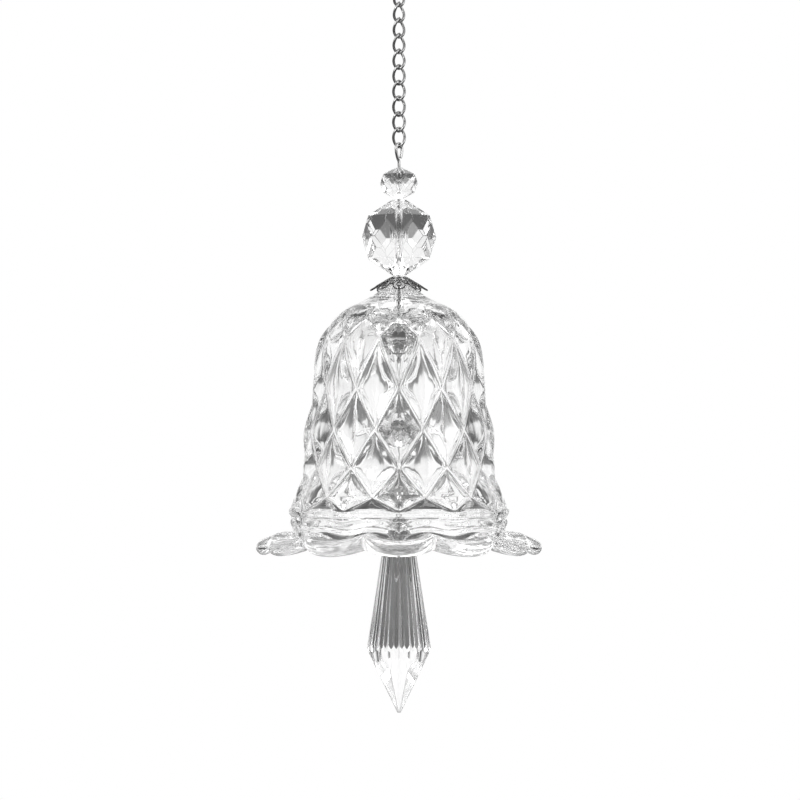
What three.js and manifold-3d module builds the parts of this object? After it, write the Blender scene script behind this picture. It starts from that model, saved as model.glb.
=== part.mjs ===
// Crystal suncatcher: a pressed glass bell on a beaded pin, hung from a twisted wire chain,
// with a fluted icicle prism as its clapper.
// Millimetres, +Z up, +X to the right. The origin is where a hook carries the hanging ring.

import * as THREE from 'three';
import { mergeVertices } from 'three/addons/utils/BufferGeometryUtils.js';
import Module from 'manifold-3d';

// Clearances
const linkPlay = 0.2;
const seatGap = 0.3;
const seamGap = 0.12;
const boreClearance = 0.35;
const ringHoleClearance = 0.25;

// Hanging ring and chain
const hangingRingInner = 10;
const hangingRingWire = 1.2;
const chainLinkCount = 11;
const linkWire = 0.75;
const linkInnerLength = 4.45;
const linkInnerWidth = 2.3;
const linkTwist = 90;
const chainTurnPerLink = -4.5;

// Bent wire pins: a teardrop eye at each end of a straight shaft
const pinWire = 0.8;
const eyeInnerWidth = 1.4;
const eyeInnerHeight = 4.2;
const bareNeck = 1.6;
const crimpRadius = 2;
const crimpHeight = 3;

// Faceted beads
const neckBeadWidth = 10.3;
const neckBeadHeight = 8.4;
const ballWidth = 20.1;
const ballHeight = 20.4;
const ballBoreRadius = 1.1;
const clapperBeadWidth = 6;
const clapperBeadHeight = 4.8;
const clapperBeadDrop = 13.5;

// Filigree caps
const capSheet = 0.5;
const capHubRadius = 1.9;
const outerCapRadius = 7.85;
const outerCapHeight = 3.9;
const innerCapRadius = 5.4;
const innerCapHeight = 7.7;
const capPetals = 8;

// Glass bell, as depths below the flat top of its crown. The diamonds end at a ledge, and the
// wall below it is smooth down to the waist, where the rim flares out.
const bellLobes = 12;
const crownThickness = 11.4;
const diamondTop = 10.3;
const diamondBottom = 62.8;
const diamondRadius = 30.9;
const diamondRelief = 1.1;
const diamondWall = 3.4;
const ledgeStep = 1.4;
const ledgeHeight = 2.2;
const bandHeight = 3.4;
const waistRadius = 28.6;
const waistDepth = diamondBottom + ledgeHeight + bandHeight;
const rimThickness = 3.2;
const lobeRadius = 38.6;
const lobeDrop = 4.4;
const cuspRadius = 35.4;
const cuspDrop = 2.6;
const mouthWall = 2;
const mouthRadius = waistRadius - mouthWall;

// Prism on its ring
const dropLinkCount = 2;
const prismRingRadius = 4.72;
const prismRingWire = 0.7;
const prismHeadRadius = 3.1;
const prismTopRadius = 2;
const prismNeckRadius = 2.45;
const prismHeadHeight = 4.4;
const prismFluteTopRadius = 3.7;
const prismFluteTop = 3.2;
const prismGirdleRadius = 8.8;
const prismGirdle = 35.7;
const prismShoulderRadius = 6.8;
const prismShoulder = 40.5;
const prismTip = 52.7;
const prismFlutes = 16;
const prismSides = 8;
const fluteCutterRadius = 5;

const silver = { color: 0xc4c6c8, roughness: 0.28, metalness: 1 };
const crystal = { color: 0xf4f7f8, roughness: 0.04, metalness: 0, transparent: true, opacity: 0.55 };
const boreSides = 12;
const wireSides = 6;
const pinBore = pinWire / 2 + boreClearance;

const wasm = await Module();
wasm.setup();

function makeMesh(name, geometry, finish) {
  const material = new THREE.MeshStandardMaterial({ ...finish, flatShading: true });
  const mesh = new THREE.Mesh(geometry, material);
  mesh.name = name;
  return mesh;
}

// Closed mesh with one point per corner, ready for cutting and joining
function toSolid(geometry) {
  const bare = geometry.clone();
  bare.deleteAttribute('normal');
  bare.deleteAttribute('uv');
  const merged = mergeVertices(bare, 1e-4);
  return new wasm.Manifold(new wasm.Mesh({
    numProp: 3,
    vertProperties: new Float32Array(merged.attributes.position.array),
    triVerts: new Uint32Array(merged.index.array),
  }));
}

function toGeometry(solid) {
  const { vertProperties, triVerts } = solid.getMesh();
  const geometry = new THREE.BufferGeometry();
  geometry.setAttribute('position', new THREE.BufferAttribute(vertProperties, 3));
  geometry.setIndex(new THREE.BufferAttribute(triVerts, 1));
  return geometry;
}

function polar(radius, angle, height) {
  return new THREE.Vector3(radius * Math.cos(angle), radius * Math.sin(angle), height);
}

function degrees(angle) {
  return THREE.MathUtils.degToRad(angle);
}

// Profile of [radius, height] pairs, from its top down the outside, turned round the Z axis
function turned(profile, segments) {
  const points = profile.map(([radius, height]) => new THREE.Vector2(radius, height)).reverse();
  return new THREE.LatheGeometry(points, segments).rotateX(Math.PI / 2);
}

function cylinderAlongZ(radius, length, sides) {
  return new THREE.CylinderGeometry(radius, radius, length, sides).rotateX(Math.PI / 2);
}

// Round wire with its flat ends at the ends of the path
function wireAlong(path, diameter, steps, sides = wireSides) {
  const section = new THREE.Shape();
  for (let i = 0; i < sides; i += 1) {
    const angle = (2 * Math.PI * i) / sides;
    const corner = [(diameter / 2) * Math.cos(angle), (diameter / 2) * Math.sin(angle)];
    if (i === 0) section.moveTo(...corner);
    else section.lineTo(...corner);
  }
  section.closePath();
  return new THREE.ExtrudeGeometry(section, { steps, bevelEnabled: false, extrudePath: path });
}

// Wire loop hanging from its top centre: an oval whose two ends are turned by the twist.
// The wire's ends meet at a seam in the middle of one side.
class LoopPath extends THREE.Curve {
  constructor(halfWidth, halfLength, twist) {
    super();
    this.halfWidth = halfWidth;
    this.halfLength = halfLength;
    this.twist = twist;
  }

  getPoint(t, target = new THREE.Vector3()) {
    const seamAngle = seamGap / this.halfLength;
    const angle = Math.PI / 2 + seamAngle / 2 + t * (2 * Math.PI - seamAngle);
    const across = this.halfWidth * Math.sin(angle);
    const along = this.halfLength * Math.cos(angle);
    const turn = ((along / this.halfLength) * this.twist) / 2;
    return target.set(across * Math.cos(turn), across * Math.sin(turn), along - this.halfLength);
  }
}

// Wire path that takes the same number of steps between any two of its points
class PinPath extends THREE.CatmullRomCurve3 {
  getPointAt(t, target) {
    return this.getPoint(t, target);
  }

  getTangentAt(t, target) {
    return this.getTangent(t, target);
  }
}

function linkGeometry() {
  const path = new LoopPath(
    (linkInnerWidth + linkWire) / 2,
    (linkInnerLength + linkWire) / 2,
    degrees(linkTwist),
  );
  return wireAlong(path, linkWire, 16);
}

function ringGeometry(radius, wire, steps) {
  return wireAlong(new LoopPath(radius, radius, 0), wire, steps);
}

const eyeHeight = eyeInnerHeight + pinWire;

// Teardrop eye above its neck in the X-Z plane, from the wire's free end round to the neck
function eyePoints() {
  const eyeSteps = 13;
  const freeEnd = 1.0;
  const neckEnd = 2 * Math.PI - 0.8;
  const halfWidth = (eyeInnerWidth + pinWire) / 2;
  const widestOfTeardrop = 0.77;
  return Array.from({ length: eyeSteps }, (_, i) => {
    const angle = THREE.MathUtils.lerp(freeEnd, neckEnd, i / (eyeSteps - 1));
    const across = (halfWidth / widestOfTeardrop) * Math.sin(angle) * Math.sin(angle / 2);
    return new THREE.Vector3(across, 0, (eyeHeight / 2) * (1 - Math.cos(angle)));
  });
}

// Pin with its upper neck at the origin and its lower neck a shaft's length below.
// The eyes lie in the planes given by their two azimuths.
function pinGeometry(shaftLength, upperAzimuth, lowerAzimuth) {
  const neckBend = 0.35;
  const upAxis = new THREE.Vector3(0, 0, 1);
  const upper = eyePoints().map((point) => point.applyAxisAngle(upAxis, upperAzimuth));
  const lower = eyePoints().map((point) => {
    point.z = -shaftLength - point.z;
    return point.applyAxisAngle(upAxis, lowerAzimuth);
  });
  const shaft = [neckBend, shaftLength / 2, shaftLength - neckBend].map(
    (depth) => new THREE.Vector3(0, 0, -depth),
  );
  const points = [...upper, ...shaft, ...lower.reverse()];
  return wireAlong(new PinPath(points), pinWire, points.length - 1);
}

// Convex body that is left when a blank is ground flat along each plane in turn
function groundBody(planes) {
  const inside = (point) => planes.every((plane) => plane.distanceToPoint(point) < 1e-6);
  const corners = [];
  for (let i = 0; i < planes.length; i += 1) {
    for (let j = i + 1; j < planes.length; j += 1) {
      for (let k = j + 1; k < planes.length; k += 1) {
        const corner = planeCorner(planes[i], planes[j], planes[k]);
        const known = corner && corners.some((other) => other.distanceTo(corner) < 1e-5);
        if (corner && !known && inside(corner)) corners.push(corner);
      }
    }
  }
  const positions = planes.flatMap((plane) => facetTriangles(plane, corners));
  const geometry = new THREE.BufferGeometry();
  geometry.setAttribute('position', new THREE.Float32BufferAttribute(positions, 3));
  return geometry;
}

function planeCorner(first, second, third) {
  const cross = new THREE.Vector3().crossVectors(second.normal, third.normal);
  const volume = first.normal.dot(cross);
  if (Math.abs(volume) < 1e-6) return null;
  return cross
    .multiplyScalar(-first.constant)
    .addScaledVector(new THREE.Vector3().crossVectors(third.normal, first.normal), -second.constant)
    .addScaledVector(new THREE.Vector3().crossVectors(first.normal, second.normal), -third.constant)
    .divideScalar(volume);
}

// Triangles of one facet, fanned from the first of its corners, in order round its normal
function facetTriangles(plane, corners) {
  const ring = corners.filter((corner) => Math.abs(plane.distanceToPoint(corner)) < 1e-5);
  if (ring.length < 3) return [];
  const centre = new THREE.Vector3();
  ring.forEach((corner) => centre.addScaledVector(corner, 1 / ring.length));
  const right = ring[0].clone().sub(centre).normalize();
  const up = new THREE.Vector3().crossVectors(plane.normal, right);
  const angleOf = (corner) => {
    const arm = corner.clone().sub(centre);
    return Math.atan2(arm.dot(up), arm.dot(right));
  };
  ring.sort((a, b) => angleOf(a) - angleOf(b));
  const triangles = [];
  for (let i = 1; i + 1 < ring.length; i += 1) {
    triangles.push(...ring[0].toArray(), ...ring[i].toArray(), ...ring[i + 1].toArray());
  }
  return triangles;
}

// Facets through two [radius, height] points, the upper one first, repeated round the axis
function facetRow(upper, lower, count, firstAzimuth) {
  const outward = upper[1] - lower[1];
  const upward = lower[0] - upper[0];
  return Array.from({ length: count }, (_, i) => {
    const azimuth = firstAzimuth + (2 * Math.PI * i) / count;
    const normal = polar(outward, azimuth, upward).normalize();
    return new THREE.Plane().setFromNormalAndCoplanarPoint(normal, polar(upper[0], azimuth, upper[1]));
  });
}

function levelPlane(direction, height) {
  return new THREE.Plane(new THREE.Vector3(0, 0, direction), -direction * height);
}

// Bead of the classic eight sided cut: tables, crown cones, pointed bands that meet at the
// widest circle and a row of large girdle facets between their points
function beadGeometry(width, height, boreRadius) {
  const sides = 8;
  const cut = { table: 0.19, shoulder: 0.79, shoulderRise: 0.56, girdleFacet: 0.955 };
  const radius = width / 2;
  const rise = height / 2;
  const table = [cut.table * radius, rise];
  const shoulder = [cut.shoulder * radius, cut.shoulderRise * rise];
  const girdle = [radius, 0];
  const below = ([r, z]) => [r, -z];
  const flat = cut.girdleFacet * radius;
  const body = groundBody([
    levelPlane(1, rise),
    levelPlane(-1, -rise),
    ...facetRow(table, shoulder, sides, 0),
    ...facetRow(shoulder, girdle, sides, 0),
    ...facetRow([flat, rise], [flat, -rise], sides, Math.PI / sides),
    ...facetRow(girdle, below(shoulder), sides, 0),
    ...facetRow(below(shoulder), below(table), sides, 0),
  ]);
  const bore = cylinderAlongZ(boreRadius, 2 * height, boreSides);
  return toGeometry(toSolid(body).subtract(toSolid(bore)));
}

function crimpGeometry() {
  const bulgeSteps = 5;
  const turnedIn = degrees(62);
  const profile = [[pinBore, crimpHeight / 2]];
  for (let i = 0; i <= bulgeSteps; i += 1) {
    const angle = THREE.MathUtils.lerp(turnedIn, -turnedIn, i / bulgeSteps);
    const across = crimpRadius * Math.cos(angle);
    profile.push([across, ((crimpHeight / 2) * Math.sin(angle)) / Math.sin(turnedIn)]);
  }
  profile.push([pinBore, -crimpHeight / 2], [pinBore, crimpHeight / 2]);
  return turned(profile, boreSides);
}

// Holes of a stamped cap: where each lies down the dome, and its half width and half length as
// shares of the rim's radius
const petalHole = { share: 0.72, halfWidth: 0.13, halfLength: 0.3 };
const rimNotch = { share: 1, halfWidth: 0.2, halfLength: 0.34 };
const rootEye = { share: 0.36, halfWidth: 0.08, halfLength: 0.1 };

// Stamped cap: a thin dome on the pin with notched petals, each pierced by a long drop. The
// wide cap has small eyes between the petals' roots as well.
function capGeometry({ rimRadius, height, fullness, hasEyes }) {
  const dome = new THREE.QuadraticBezierCurve(
    new THREE.Vector2(capHubRadius, 0),
    new THREE.Vector2(
      THREE.MathUtils.lerp(capHubRadius, rimRadius, fullness),
      -height * (1 - fullness) * 0.5,
    ),
    new THREE.Vector2(rimRadius, -height + capSheet),
  );
  const steps = 3;
  const outside = dome.getPoints(steps).map((point) => [point.x, point.y]);
  const inside = dome.getPoints(steps).map((point, i) => {
    const tangent = dome.getTangent(i / steps);
    return [point.x + tangent.y * capSheet, point.y - tangent.x * capSheet];
  });
  const hubBottom = [pinBore, -capSheet];
  const profile = [[pinBore, 0], ...outside, ...inside.reverse(), hubBottom, [pinBore, 0]];
  let cap = toSolid(turned(profile, capPetals * 2));
  for (let i = 0; i < capPetals; i += 1) {
    const azimuth = (2 * Math.PI * i) / capPetals;
    const between = azimuth + Math.PI / capPetals;
    cap = cap.subtract(piercing(dome, petalHole, azimuth, rimRadius));
    cap = cap.subtract(piercing(dome, rimNotch, between, rimRadius));
    if (hasEyes) cap = cap.subtract(piercing(dome, rootEye, between, rimRadius));
  }
  return toGeometry(cap);
}

// Cutter for one hole in a dome, square to its surface: a drop with its point uphill
function piercing(dome, hole, azimuth, rimRadius) {
  const halfWidth = hole.halfWidth * rimRadius;
  const halfLength = hole.halfLength * rimRadius;
  const drop = new THREE.Shape();
  drop.moveTo(0, halfLength);
  drop.quadraticCurveTo(halfWidth, halfLength * 0.2, halfWidth, -halfLength + halfWidth);
  drop.absarc(0, -halfLength + halfWidth, halfWidth, 0, -Math.PI, true);
  drop.quadraticCurveTo(-halfWidth, halfLength * 0.2, 0, halfLength);
  const depth = 6 * capSheet;
  const cutter = new THREE.ExtrudeGeometry(drop, { depth, bevelEnabled: false, curveSegments: 2 });
  const at = dome.getPoint(hole.share);
  const downhill = dome.getTangent(hole.share);
  cutter.translate(0, 0, -depth / 2);
  cutter.rotateZ(Math.PI / 2);
  cutter.rotateY(-Math.atan2(downhill.y, downhill.x));
  cutter.translate(at.x, 0, at.y);
  cutter.rotateZ(azimuth);
  return toSolid(cutter);
}

// Outline over the tops of the diamonds, as shares of their radius and depth at the ledge
const bellOutside = new THREE.SplineCurve([
  [0.078, 0], [0.136, 0.035], [0.26, 0.078], [0.534, 0.15], [0.686, 0.25], [0.76, 0.382],
  [0.777, 0.518], [0.835, 0.669], [0.858, 0.828], [0.913, 0.935], [1, 1],
].map(([radius, depth]) => new THREE.Vector2(radius * diamondRadius, depth * diamondBottom)));

// Heights where the lattice's lines cross, as shares of the way down from the top of the diamonds
const diamondRows = [0, 0.118, 0.371, 0.583, 0.773, 0.922, 1];

function outsideRadius(depth) {
  let low = 0;
  let high = 1;
  for (let i = 0; i < 30; i += 1) {
    const middle = (low + high) / 2;
    if (bellOutside.getPoint(middle).y < depth) low = middle;
    else high = middle;
  }
  return bellOutside.getPoint(low).x;
}

// Inside from the mouth up to the crown. Each point is a share of the way down from the crown's
// underside to the waist, and lies a number of walls in from the tops of the diamonds.
const bellInside = new THREE.SplineCurve([
  new THREE.Vector2(mouthRadius, waistDepth),
  ...[
    [0.865, 1], [0.743, 1], [0.546, 1.05], [0.377, 0.95], [0.216, 1], [0.1, 1.2], [0.029, 1.75], [0, 3],
  ].map(([share, walls]) => {
    const depth = THREE.MathUtils.lerp(crownThickness, waistDepth, share);
    return new THREE.Vector2(outsideRadius(depth) - walls * diamondWall, depth);
  }),
]);

// Height of the pillow-shaped diamonds: 0 in the grooves of the lattice, 1 on their tops.
// Across counts half diamonds round the bell and row counts them down the wall.
function pillow(across, row) {
  const distanceToLine = (value) => Math.abs(value - Math.round(value));
  const nearest = Math.min(
    distanceToLine((across + row) / 2),
    distanceToLine((across - row) / 2),
  );
  return 1 - (1 - 2 * nearest) ** 2;
}

// Closed section of the bell at one angle, as [radius, depth] pairs from the bore's top edge
// down the outside, round the rim and up the inside
const crownRows = 4;
const rowsPerDiamond = 3;

function bellSection(angle) {
  const across = (bellLobes * angle) / Math.PI;
  const section = [[pinBore, 0]];
  for (let i = 0; i < crownRows; i += 1) {
    const depth = (diamondTop * i) / crownRows;
    section.push([outsideRadius(depth), depth]);
  }
  for (let i = 0; i <= (diamondRows.length - 1) * rowsPerDiamond; i += 1) {
    const row = i / rowsPerDiamond;
    const above = Math.min(Math.floor(row), diamondRows.length - 2);
    const share = THREE.MathUtils.lerp(diamondRows[above], diamondRows[above + 1], row - above);
    const depth = THREE.MathUtils.lerp(diamondTop, diamondBottom, share);
    const groove = diamondRelief * (1 - pillow(across, row));
    section.push([outsideRadius(depth) - groove, depth]);
  }
  const [ledgeRadius] = section[section.length - 1];
  const roundedTop = { inward: 0.15 * ledgeStep, down: 0.4 * ledgeHeight };
  section.push([ledgeRadius - roundedTop.inward, diamondBottom + roundedTop.down]);
  section.push([diamondRadius - ledgeStep, diamondBottom + ledgeHeight]);
  section.push([waistRadius, waistDepth]);
  section.push(...rimSection(angle));
  bellInside.getPoints(6).forEach((point) => section.push([point.x, point.y]));
  section.push([pinBore, crownThickness]);
  return section;
}

// Flared rim: it swings out from the waist to a thick rounded edge that reaches furthest and
// lowest in the middle of each lobe, and turns back to the mouth
function rimSection(angle) {
  const lobe = Math.abs(Math.cos((bellLobes * angle) / 2)) ** 0.8;
  const half = rimThickness / 2;
  const edge = [
    THREE.MathUtils.lerp(cuspRadius, lobeRadius, lobe) - half,
    waistDepth + THREE.MathUtils.lerp(cuspDrop, lobeDrop, lobe),
  ];
  const top = new THREE.CubicBezierCurve(
    new THREE.Vector2(waistRadius, waistDepth),
    new THREE.Vector2(waistRadius, waistDepth + half),
    new THREE.Vector2(edge[0] - 2.8 * half, edge[1] - 1.6 * half),
    new THREE.Vector2(edge[0], edge[1] - half),
  );
  const under = new THREE.CubicBezierCurve(
    new THREE.Vector2(edge[0] - half * 0.7, edge[1] + half * 0.7),
    new THREE.Vector2(edge[0] - 2.2 * half, edge[1] - 0.1 * half),
    new THREE.Vector2(mouthRadius + 0.8 * half, waistDepth + 2.6 * half),
    new THREE.Vector2(mouthRadius, waistDepth),
  );
  const section = top.getPoints(3).slice(1).map((point) => [point.x, point.y]);
  const roundedEdge = [-25, 30, 85].map(degrees);
  roundedEdge.forEach((turn) => {
    section.push([edge[0] + half * Math.cos(turn), edge[1] + half * Math.sin(turn)]);
  });
  return [...section, ...under.getPoints(3).slice(0, 3).map((point) => [point.x, point.y])];
}

// Glass bell with its crown's flat top at the origin, as a closed grid of sections.
// Each cell is split along the lattice, so the grooves are crisp creases.
function bellGeometry() {
  const columns = 2 * bellLobes * rowsPerDiamond;
  const positions = [];
  let rows = 0;
  for (let column = 0; column < columns; column += 1) {
    const angle = (2 * Math.PI * column) / columns - Math.PI / 2;
    const section = bellSection((2 * Math.PI * column) / columns);
    rows = section.length;
    section.forEach(([radius, depth]) => positions.push(...polar(radius, angle, -depth).toArray()));
  }
  const indices = [];
  for (let column = 0; column < columns; column += 1) {
    for (let row = 0; row < rows; row += 1) {
      const nextColumn = (column + 1) % columns;
      const nextRow = (row + 1) % rows;
      const corners = [
        column * rows + row,
        column * rows + nextRow,
        nextColumn * rows + nextRow,
        nextColumn * rows + row,
      ];
      const acrossCell = Math.floor(column / rowsPerDiamond);
      const downCell = Math.floor((row - crownRows - 1) / rowsPerDiamond);
      const [a, b, c, d] = corners;
      if ((acrossCell + downCell) % 2 === 0) indices.push(a, b, c, a, c, d);
      else indices.push(a, b, d, b, c, d);
    }
  }
  const geometry = new THREE.BufferGeometry();
  geometry.setAttribute('position', new THREE.Float32BufferAttribute(positions, 3));
  geometry.setIndex(indices);
  return geometry;
}

// The prism's ring bows through the straight hole in its head, so the hole is as wide as the
// wire and the bow together
const ringBow = prismRingRadius - Math.sqrt(prismRingRadius ** 2 - prismNeckRadius ** 2);
const prismHoleRadius = (prismRingWire + ringBow) / 2 + ringHoleClearance;

// Icicle prism with its drilled hole, along Y, at the origin
function prismGeometry() {
  const stemSlope = (prismGirdleRadius - prismFluteTopRadius) / (prismGirdle - prismFluteTop);
  const overrun = 6;
  const chamfer = prismHeadRadius - prismTopRadius;
  const halfSide = Math.PI / prismSides;
  const blank = turned([
    [0, prismHeadHeight],
    [prismTopRadius, prismHeadHeight],
    [prismHeadRadius, prismHeadHeight - chamfer],
    [prismNeckRadius, 0],
    [prismFluteTopRadius, -prismFluteTop],
    [prismGirdleRadius + stemSlope * overrun, -prismGirdle - overrun],
    [prismGirdleRadius + stemSlope * overrun, -prismTip - overrun],
    [0, -prismTip - overrun],
  ], prismFlutes);
  const girdleFlat = [prismGirdleRadius * Math.cos(halfSide), -prismGirdle];
  const shoulderFlat = [prismShoulderRadius * Math.cos(halfSide), -prismShoulder];
  const ground = groundBody([
    levelPlane(1, prismHeadHeight + overrun),
    ...facetRow(girdleFlat, shoulderFlat, prismSides, halfSide),
    ...facetRow([shoulderFlat[0] * Math.cos(halfSide), -prismShoulder], [0, -prismTip], prismSides, 0),
  ]);
  let prism = toSolid(blank).intersect(toSolid(ground));
  for (let i = 0; i < prismFlutes; i += 1) {
    prism = prism.subtract(fluteCutter((2 * Math.PI * (i + 0.5)) / prismFlutes));
  }
  const hole = new THREE.CylinderGeometry(prismHoleRadius, prismHoleRadius, 4 * prismHeadRadius, boreSides);
  return toGeometry(prism.subtract(toSolid(hole)));
}

// Grinding wheel's path along one flute: a slim cylinder that leans with the stem and leaves
// a sharp ridge on either side
function fluteCutter(azimuth) {
  const halfFlute = Math.PI / prismFlutes;
  const axisRadius = (ridgeRadius) => {
    const halfChord = ridgeRadius * Math.sin(halfFlute);
    return ridgeRadius * Math.cos(halfFlute) + Math.sqrt(fluteCutterRadius ** 2 - halfChord ** 2);
  };
  const top = new THREE.Vector2(axisRadius(prismFluteTopRadius), -prismFluteTop);
  const bottom = new THREE.Vector2(axisRadius(prismGirdleRadius), -prismGirdle);
  const middle = top.clone().add(bottom).divideScalar(2);
  const lean = Math.atan2(bottom.x - top.x, top.y - bottom.y);
  const overrun = 4;
  const cutterSides = 36;
  const cutter = cylinderAlongZ(fluteCutterRadius, top.distanceTo(bottom) + overrun, cutterSides);
  cutter.rotateZ(Math.PI / cutterSides);
  cutter.rotateY(-lean);
  cutter.translate(middle.x + (overrun / 2) * Math.sin(lean), 0, middle.y - (overrun / 2) * Math.cos(lean));
  cutter.rotateZ(azimuth);
  return toSolid(cutter);
}

// A group whose origin is the point where it hangs, a given distance below its carrier's
function hungBelow(carrier, drop) {
  const group = new THREE.Group();
  group.position.z = -drop;
  carrier.add(group);
  return group;
}

function addPiece(group, mesh, height, azimuth = 0) {
  mesh.position.z = height;
  mesh.rotation.z = azimuth;
  group.add(mesh);
}

const suncatcher = new THREE.Group();

// Ring and chain. A loop hangs with the inner face of its top on the wire that it passes. The
// twist turns each end of a link by half of it, so that the links cross their neighbours.
const halfTwist = degrees(linkTwist) / 2;
const hangingRing = ringGeometry((hangingRingInner + hangingRingWire) / 2, hangingRingWire, 24);
addPiece(suncatcher, makeMesh('hanging_ring', hangingRing, silver), hangingRingWire / 2);

function hangLinks(carrier, firstDrop, count, stem, turnPerLink) {
  let group = carrier;
  for (let i = 1; i <= count; i += 1) {
    group = hungBelow(group, i === 1 ? firstDrop : linkInnerLength - linkPlay);
    const name = `${stem}_${String(i).padStart(2, '0')}`;
    const azimuth = halfTwist + turnPerLink * (i - 1);
    addPiece(group, makeMesh(name, linkGeometry(), silver), linkWire / 2, azimuth);
  }
  return group;
}

const ringDrop = hangingRingInner - linkPlay;
const chainStep = degrees(chainTurnPerLink);
const chain = hangLinks(suncatcher, ringDrop, chainLinkCount, 'chain_link', chainStep);

// Eye pin and the stack that it carries, from the top down
const pin = hungBelow(chain, linkInnerLength - linkPlay);
const upperNeck = pinWire / 2 - eyeHeight;
let stackTop = upperNeck - bareNeck;

function stackOnPin(name, geometry, finish, height, offset) {
  addPiece(pin, makeMesh(name, geometry, finish), stackTop - offset);
  stackTop -= height + seatGap;
}

const neckBead = beadGeometry(neckBeadWidth, neckBeadHeight, pinBore);
stackOnPin('neck_bead', neckBead, crystal, neckBeadHeight, neckBeadHeight / 2);
const ball = beadGeometry(ballWidth, ballHeight, ballBoreRadius);
stackOnPin('ball_bead', ball, crystal, ballHeight, ballHeight / 2);
const outerCap = capGeometry({
  rimRadius: outerCapRadius,
  height: outerCapHeight,
  fullness: 0.5,
  hasEyes: true,
});
stackOnPin('outer_bead_cap', outerCap, silver, capSheet, 0);
stackOnPin('glass_bell', bellGeometry(), crystal, crownThickness, 0);
const innerCap = capGeometry({
  rimRadius: innerCapRadius,
  height: innerCapHeight,
  fullness: 0.92,
  hasEyes: false,
});
stackOnPin('inner_bead_cap', innerCap, silver, capSheet, 0);
stackOnPin('crimp_bead', crimpGeometry(), silver, crimpHeight, crimpHeight / 2);

const pinShaft = upperNeck - stackTop;
const upperEyeAzimuth = 2 * halfTwist + chainStep * (chainLinkCount - 1);
const eyePin = pinGeometry(pinShaft, upperEyeAzimuth, Math.PI / 2);
addPiece(pin, makeMesh('eye_pin', eyePin, silver), upperNeck);

// Drop pin with the small bead that rests on its lower eye
const pinToPin = upperNeck - pinShaft - eyeHeight + pinWire / 2 + linkPlay;
const dropPin = hungBelow(pin, -pinToPin);
const dropNeck = pinWire / 2 - eyeHeight;
const beadCentre = dropNeck - clapperBeadDrop - clapperBeadHeight / 2;
const dropShaft = clapperBeadDrop + clapperBeadHeight + seatGap;
addPiece(dropPin, makeMesh('drop_pin', pinGeometry(dropShaft, 0, 0), silver), dropNeck);
const clapperBead = beadGeometry(clapperBeadWidth, clapperBeadHeight, pinBore);
addPiece(dropPin, makeMesh('clapper_bead', clapperBead, crystal), beadCentre);

// Two links, the prism's ring and the prism
const dropEyeDepth = dropShaft - dropNeck + eyeHeight - pinWire / 2 - linkPlay;
const dropChain = hangLinks(dropPin, dropEyeDepth, dropLinkCount, 'drop_link', 0);
const ringGroup = hungBelow(dropChain, linkInnerLength - linkPlay);
const prismRing = ringGeometry(prismRingRadius, prismRingWire, 20);
addPiece(ringGroup, makeMesh('prism_ring', prismRing, silver), prismRingWire / 2, Math.PI / 2);
const holeDepth = 2 * prismRingRadius - prismRingWire / 2 - ringBow / 2;
const prismGroup = hungBelow(ringGroup, holeDepth);
addPiece(prismGroup, makeMesh('icicle_prism', prismGeometry(), crystal), 0);

export default suncatcher;
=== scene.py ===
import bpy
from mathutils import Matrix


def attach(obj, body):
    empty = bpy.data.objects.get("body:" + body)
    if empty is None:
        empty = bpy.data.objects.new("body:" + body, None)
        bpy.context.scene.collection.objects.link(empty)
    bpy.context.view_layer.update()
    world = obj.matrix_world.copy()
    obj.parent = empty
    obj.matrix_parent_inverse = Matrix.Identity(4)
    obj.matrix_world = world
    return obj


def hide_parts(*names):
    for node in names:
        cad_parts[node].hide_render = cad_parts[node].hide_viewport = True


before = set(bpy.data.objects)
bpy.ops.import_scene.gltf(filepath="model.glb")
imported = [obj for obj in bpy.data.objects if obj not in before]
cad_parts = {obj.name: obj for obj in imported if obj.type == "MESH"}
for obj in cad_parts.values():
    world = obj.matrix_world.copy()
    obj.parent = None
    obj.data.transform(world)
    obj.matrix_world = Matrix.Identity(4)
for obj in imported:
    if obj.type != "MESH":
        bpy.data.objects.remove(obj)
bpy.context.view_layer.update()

import math

import bmesh
import bpy
import numpy as np
from mathutils import Matrix, Vector

scene = bpy.context.scene


# Studio. The suncatcher hangs in front of a white backdrop, high above a pale floor. Glass and
# metal show a room with a white panel on each side, a narrow one in each corner, dim flags
# between them, grey below the camera's height, and a grey ring round the white overhead.
def node(tree, kind, inputs=None, **settings):
    made = tree.nodes.new(kind)
    for name, value in settings.items():
        setattr(made, name, value)
    for socket, value in (inputs or {}).items():
        if isinstance(value, bpy.types.NodeSocket):
            tree.links.new(value, made.inputs[socket])
        else:
            made.inputs[socket].default_value = value
    return made


def maths(tree, operation, *values):
    return node(tree, "ShaderNodeMath", dict(enumerate(values)), operation=operation).outputs[0]


def vector_maths(tree, operation, *values):
    return node(tree, "ShaderNodeVectorMath", dict(enumerate(values)), operation=operation).outputs[0]


def remap(tree, value, start=0.0, end=1.0, low=0.0, high=1.0, soft=False):
    inputs = {"Value": value, "From Min": start, "From Max": end, "To Min": low, "To Max": high}
    kind = "SMOOTHSTEP" if soft else "LINEAR"
    return node(tree, "ShaderNodeMapRange", inputs, interpolation_type=kind).outputs[0]


def ramp(tree, value, stops):
    made = node(tree, "ShaderNodeValToRGB", {"Fac": value})
    elements = made.color_ramp.elements
    while len(elements) < len(stops):
        elements.new(0.5)
    for element, (position, shade) in zip(elements, stops):
        element.position = position
        element.color = (shade, shade, shade, 1)
    return made.outputs["Color"]


def new_material(name):
    made = bpy.data.materials.new(name)
    made.use_nodes = True
    made.node_tree.nodes.clear()
    return made, made.node_tree


def polar(radius, azimuth, height):
    return (radius * math.cos(azimuth), radius * math.sin(azimuth), height)


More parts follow.
